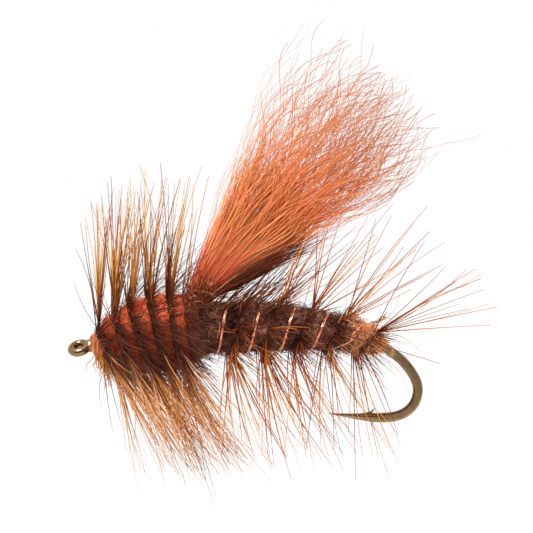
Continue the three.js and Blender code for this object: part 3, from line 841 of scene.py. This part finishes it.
# ---- wing ----
wing_along = np.array([math.cos(math.radians(WING_ANGLE)), 0, math.sin(math.radians(WING_ANGLE))])
wing_up = np.array([-wing_along[2], 0, wing_along[0]])
wing_above = profile([(s, above) for s, above, _ in WING_OUTLINE])
wing_below = profile([(s, below) for s, _, below in WING_OUTLINE])
WING_START = WING_OUTLINE[0][0]
LOOSE_START, LOOSE_RUN = 2, 17  # the hair loosens over this stretch of the wing
SWAY_START, SWAY_RUN = 8, 10  # past here hairs also drift off to one side
WING_FOOT_END, WING_FOOT_SPREAD = 1.4, 1.5  # the foot is this much wider across the fly

# the hair is longest along the middle of the wing and shorter at its lower edge
wing_reach = profile([(-1.2, 0.7), (-0.8, 0.83), (-0.4, 0.96), (0, 1), (0.5, 0.98), (1, 0.91)])


def wing_paths(count, shortest, longest, reach, crinkle, points):
    """Hairs that follow the wing's outline, straight at the root and crinkled outside."""
    radius = np.sqrt(rng.random(count)) * reach
    turn = rng.uniform(0, 2 * np.pi, count)
    drift = rng.normal(0, 0.6, count)[:, None]
    high = np.interp(radius * np.cos(turn), [0.1, 0.5], [0, 1])
    first = shortest * (1 - 0.3 * high)
    full = longest * wing_reach(radius * np.cos(turn))
    length = first + (full - first) * rng.random(count) ** (0.7 + 0.6 * high)
    s = WING_START + (length - WING_START)[:, None] * np.linspace(0, 1, points)[None, :]
    half = (wing_above(s) + wing_below(s)) / 2
    middle = (wing_above(s) - wing_below(s)) / 2
    out = np.clip((s - LOOSE_START) / LOOSE_RUN, 0, 1)
    far = np.clip(s - SWAY_START, 0, 2 * SWAY_RUN) / SWAY_RUN
    around = turn[:, None] + drift * out
    a, b = radius[:, None] * np.cos(around), radius[:, None] * np.sin(around)
    phase = rng.uniform(0, 2 * np.pi, (4, count, 1))
    wave = rng.uniform(7.0, 15.0, (2, count, 1))
    size = crinkle * rng.uniform(0.3, 1.7, (2, count, 1))
    sway = rng.normal(0, 0.7, (2, count, 1))
    v = middle + half * a + out**1.2 * (
        size[0] * np.sin(2 * np.pi * s / wave[0] + phase[0]) + sway[0] * far)
    y = WING_SIDE_RATIO * half * b + out**1.2 * (
        size[1] * np.sin(2 * np.pi * s / wave[1] + phase[1]) + sway[1] * far)
    y = np.where(s < WING_FOOT_END, y * WING_FOOT_SPREAD, y)
    paths = WING_BASE + s[..., None] * wing_along + v[..., None] * wing_up
    paths[..., 1] += y
    return paths


# painted light and shade: hair deep in the wing is coloured lighter, against the shade between
# hairs, and hair on its outside darker, against the highlights there
OUTSIDE_HAIR = 2.5  # hair this far from the wing's middle plane takes the palette's dark end


def add_hair(name, paths, material, size, nodes=()):
    """size holds a hair's radii at its root, middle and tip."""
    n, k, _ = paths.shape
    radii = taper(n, k, *size) * rng.uniform(0.8, 1.25, n)[:, None]
    # painted light on the hair deep in the wing and painted shade on the hair outside
    outside = np.clip(np.abs(paths[:, k // 2, 1]) / OUTSIDE_HAIR, 0, 1)
    rank = 0.6 * (1 - outside) + 0.4 * rng.random(n)
    mesh = strand_mesh(paths, radii, (rank * (COLUMNS - 1)).astype(int))
    add_piece(name, mesh, material, nodes)


rng.seed(WING_SEED)
bundle = wing_paths(
    count=470, shortest=16.0, longest=25.6, reach=1.0, crinkle=0.85, points=38)
add_hair("wing_hair_bundle", bundle, wing_hair, (0.03, 0.038, 0.02), ["wing_hair"])
short = wing_paths(
    count=1500, shortest=4.0, longest=13.5, reach=0.97, crinkle=0.25, points=16)
add_hair("wing_hair_short", short, wing_hair, (0.021, 0.022, 0.012))
stray = wing_paths(
    count=100, shortest=15.0, longest=27.0, reach=1.2, crinkle=1.1, points=38)
add_hair("wing_hair_stray", stray, wing_hair, (0.034, 0.026, 0.01))


def underwing_paths(count, points=16):
    """Dark strands in a bunch along the underside of the wing."""
    t = np.linspace(0, 1, points)[None, :]
    start = rng.uniform(0.2, 3.6, count)[:, None]
    s = start + rng.uniform(2.5, 8.6, count)[:, None] * t
    drop = wing_below(s) - 0.35 + 0.85 * rng.random(count)[:, None] * np.clip(s / 3, 0.4, 1)
    drop = drop + 0.1 * np.sin(s * 0.9 + 6 * rng.random(count)[:, None])
    drop = drop + rng.normal(0.1, 0.4, count)[:, None] * t**1.5
    paths = WING_BASE + s[..., None] * wing_along - drop[..., None] * wing_up
    paths[..., 1] += rng.normal(-0.6, 0.7, count)[:, None] * (0.6 + 0.07 * s)
    return paths


def swept_paths(count, points=12):
    """Strands from the back of the abdomen that lean up into the bunch under the wing."""
    x0 = rng.uniform(11.2, 16.5, count)
    side = rng.normal(0, 28, count)
    root = on_body(x0, side, abdomen_radius(x0) - ROOT_DEPTH)
    t = np.linspace(0, 1, points)[None, :, None]
    slope = np.radians(rng.normal(43, 7, count))
    way = np.stack([np.cos(slope), -0.12 * np.sin(np.radians(side)), np.sin(slope)], -1)
    size = rng.uniform(2.5, 7.0, count)[:, None, None]
    curl = rng.normal(0.0, 0.12, count)[:, None, None] * np.array([0.7, 0, -0.7])
    return root[:, None] + size * (way[:, None] * t + curl * t**2)


add_hair("underwing_strands", underwing_paths(170), dark_hair, (0.05, 0.042, 0.012),
         ["underwing_hair"])
add_hair("underwing_swept", swept_paths(62), dark_barb, (0.056, 0.045, 0.01))


def base_fibres(count, points=8):
    """Golden fibres and dark barb ends that cling to the foot of the wing."""
    t = np.linspace(0, 1, points)[None, :, None]
    root = np.stack([rng.uniform(9.2, 11.2, count), -1.0 + rng.normal(0, 0.5, count),
                     rng.uniform(3.8, 5.2, count)], -1)
    slope = rng.uniform(-20, 120, count)
    way = np.stack([np.cos(np.radians(slope)), rng.normal(-0.25, 0.2, count),
                    np.sin(np.radians(slope))], -1)
    curl = rng.normal(0, 0.5, (count, 1, 3))
    size = rng.uniform(0.8, 2.6, count)[:, None, None]
    return root[:, None] + size * (way[:, None] * t + curl * t**2)


add_fuzz("wing_base_gold", gold_fuzz, base_fibres(40), size=0.024)
add_fuzz("wing_base_dark", dark_hair, base_fibres(90), size=0.026)

# ---- clipped tip of the body feather ----
TIP_FOOT = np.array([24.6, 0, 1.75])
TIP_RUN = np.array([1.15, 0, 0.9])


def tip_paths(count):
    """Stubs of barbs on both sides of the feather's clipped stem."""
    t = np.linspace(0, 1, 7)[None, :, None]
    share = rng.uniform(0, 1, count)
    stem = TIP_FOOT + share[:, None] * TIP_RUN
    way = np.stack([0.55 + 0 * share, rng.normal(0, 0.25, count),
                    0.5 + rng.choice([-0.45, 0.45], count)], -1)
    return stem[:, None] + unit(way)[:, None] * rng.uniform(0.25, 0.6, count)[:, None, None] * t


# ---- stray fibres ----
# where each long stray fibre starts and ends, as x and z, and how far it bows
STRAYS = [
    ((22.9, 2.2), (29.9, 0.6), 0.3), ((20.4, 1.9), (22.6, 0.4), -0.2),
    ((25.0, -0.4), (27.9, -3.9), 0.5), ((23.9, -1.0), (25.8, -4.3), 0.5),
    ((24.4, 1.4), (29.2, -0.9), 0.8), ((2.3, -1.3), (1.9, -5.0), -0.3),
    ((24.6, 2.2), (26.9, 4.6), -0.7), ((19.0, 3.4), (22.4, 8.4), 0.8),
    ((1.7, 1.5), (-0.47, 5.66), 0.15), ((16.0, -0.4), (19.6, -4.6), -0.5),
]


def stray_paths(points=14):
    t = np.linspace(0, 1, points)[None, :]
    start, end, bow = (np.array(v, float) for v in zip(*STRAYS))
    run = end - start
    flat = start[:, None] + run[:, None] * t[..., None]
    square = unit(np.stack([-run[:, 1], run[:, 0]], -1))
    flat = flat + square[:, None] * (4 * bow[:, None] * t * (1 - t))[..., None]
    depth = np.broadcast_to(-np.sin(np.pi * t) - 0.5, flat.shape[:2])
    return np.stack([flat[..., 0], depth, flat[..., 1]], -1)


def curl_paths(count, points=12):
    """Loose curls of dubbing round the rear end of the body."""
    x0 = rng.uniform(21.5, 25.3, count)
    root = on_body(x0, rng.uniform(-180, 180, count), abdomen_radius(x0) - ROOT_DEPTH)
    away = unit(root - shank_frame(x0)[0])
    t = np.linspace(0, 1, points)[None, :, None]
    curl = rng.normal(0, 0.8, (count, 1, 3))
    size = rng.uniform(0.8, 2.6, count)[:, None, None]
    return root[:, None] + size * (away[:, None] * t + curl * t**2 * np.array([1, 0.6, 1]))


add_fuzz("stray_fibres", rust_barb, stray_paths(), size=0.03)
add_fuzz("stray_curls", gold_fuzz, curl_paths(26), size=0.022)
add_fuzz("body_feather_tip", ginger_barb, tip_paths(40), size=0.03,
         nodes=["body_hackle_tip"])


# ---- floor, light and camera ----
FRAME_WIDTH = 45.04
FRAME_CENTRE = (15.80, 6.89)
LENS = 150.0
SENSOR = 36.0
FLOOR_HALF_SIDE = 4.0
FLOOR_HEIGHT = -0.045
LIGHT_AIM = (0.012, 0, 0.004)


def make_floor():
    mesh = bpy.data.meshes.new("floor")
    corners = [(FLOOR_HALF_SIDE * x, FLOOR_HALF_SIDE * y, FLOOR_HEIGHT)
               for x, y in ((-1, -1), (1, -1), (1, 1), (-1, 1))]
    mesh.from_pydata(corners, [], [(0, 1, 2, 3)])
    floor = bpy.data.objects.new("floor", mesh)
    bpy.context.scene.collection.objects.link(floor)
    m = Nodes("floor", 0.9, specular=0.1)
    tone = m.ramp(m.noise(m.position(), 0.4), [(0.3, "FBFBFB"), (0.7, "FCFCFC")])
    mesh.materials.append(m.colour(tone))


def make_world():
    """A white studio, darker on the side that the camera looks from.

    What the camera sees of it directly is an even white.
    """
    world = bpy.data.worlds.new("studio")
    bpy.context.scene.world = world
    world.use_nodes = True
    nodes, links = world.node_tree.nodes, world.node_tree.links
    light = nodes["Background"]
    light.inputs["Strength"].default_value = 1.2
    seen = nodes.new("ShaderNodeBackground")
    seen.inputs["Color"].default_value = (0.995, 0.995, 0.995, 1)
    path = nodes.new("ShaderNodeLightPath")
    mixed = nodes.new("ShaderNodeMixShader")
    direction = nodes.new("ShaderNodeTexCoord")
    split = nodes.new("ShaderNodeSeparateXYZ")
    ramp = nodes.new("ShaderNodeValToRGB")
    span = nodes.new("ShaderNodeMapRange")
    span.inputs["From Min"].default_value = -1.0
    elements = ramp.color_ramp.elements
    elements[0].position, elements[0].color = 0.04, (0.16, 0.16, 0.16, 1)
    elements[1].position, elements[1].color = 0.32, (1, 1, 1, 1)
    links.new(direction.outputs["Generated"], split.inputs[0])
    links.new(split.outputs["Y"], span.inputs["Value"])
    links.new(span.outputs[0], ramp.inputs["Fac"])
    links.new(ramp.outputs["Color"], light.inputs["Color"])
    links.new(path.outputs["Is Camera Ray"], mixed.inputs[0])
    links.new(light.outputs[0], mixed.inputs[1])
    links.new(seen.outputs[0], mixed.inputs[2])
    links.new(mixed.outputs[0], nodes["World Output"].inputs["Surface"])


def area_light(name, place, size, watts):
    data = bpy.data.lights.new(name, "AREA")
    data.size = size
    data.energy = watts
    light = bpy.data.objects.new(name, data)
    light.location = place
    light.rotation_euler = (Vector(LIGHT_AIM) - Vector(place)).to_track_quat("-Z", "Y").to_euler()
    bpy.context.scene.collection.objects.link(light)


def make_camera():
    data = bpy.data.cameras.new("camera")
    data.lens = LENS
    data.sensor_width = SENSOR
    data.clip_start = 0.01
    data.clip_end = 20.0
    camera = bpy.data.objects.new("camera", data)
    distance = FRAME_WIDTH * MM * LENS / SENSOR
    camera.location = (FRAME_CENTRE[0] * MM, -distance, FRAME_CENTRE[1] * MM)
    camera.rotation_euler = (math.radians(90), 0, 0)
    bpy.context.scene.collection.objects.link(camera)
    bpy.context.scene.camera = camera


make_floor()
make_world()
make_camera()
area_light("key", (-0.10, -0.16, 0.22), size=0.12, watts=0.7)
area_light("fill", (0.20, -0.10, 0.10), size=0.15, watts=0.25)
bpy.context.scene.view_settings.view_transform = "Standard"
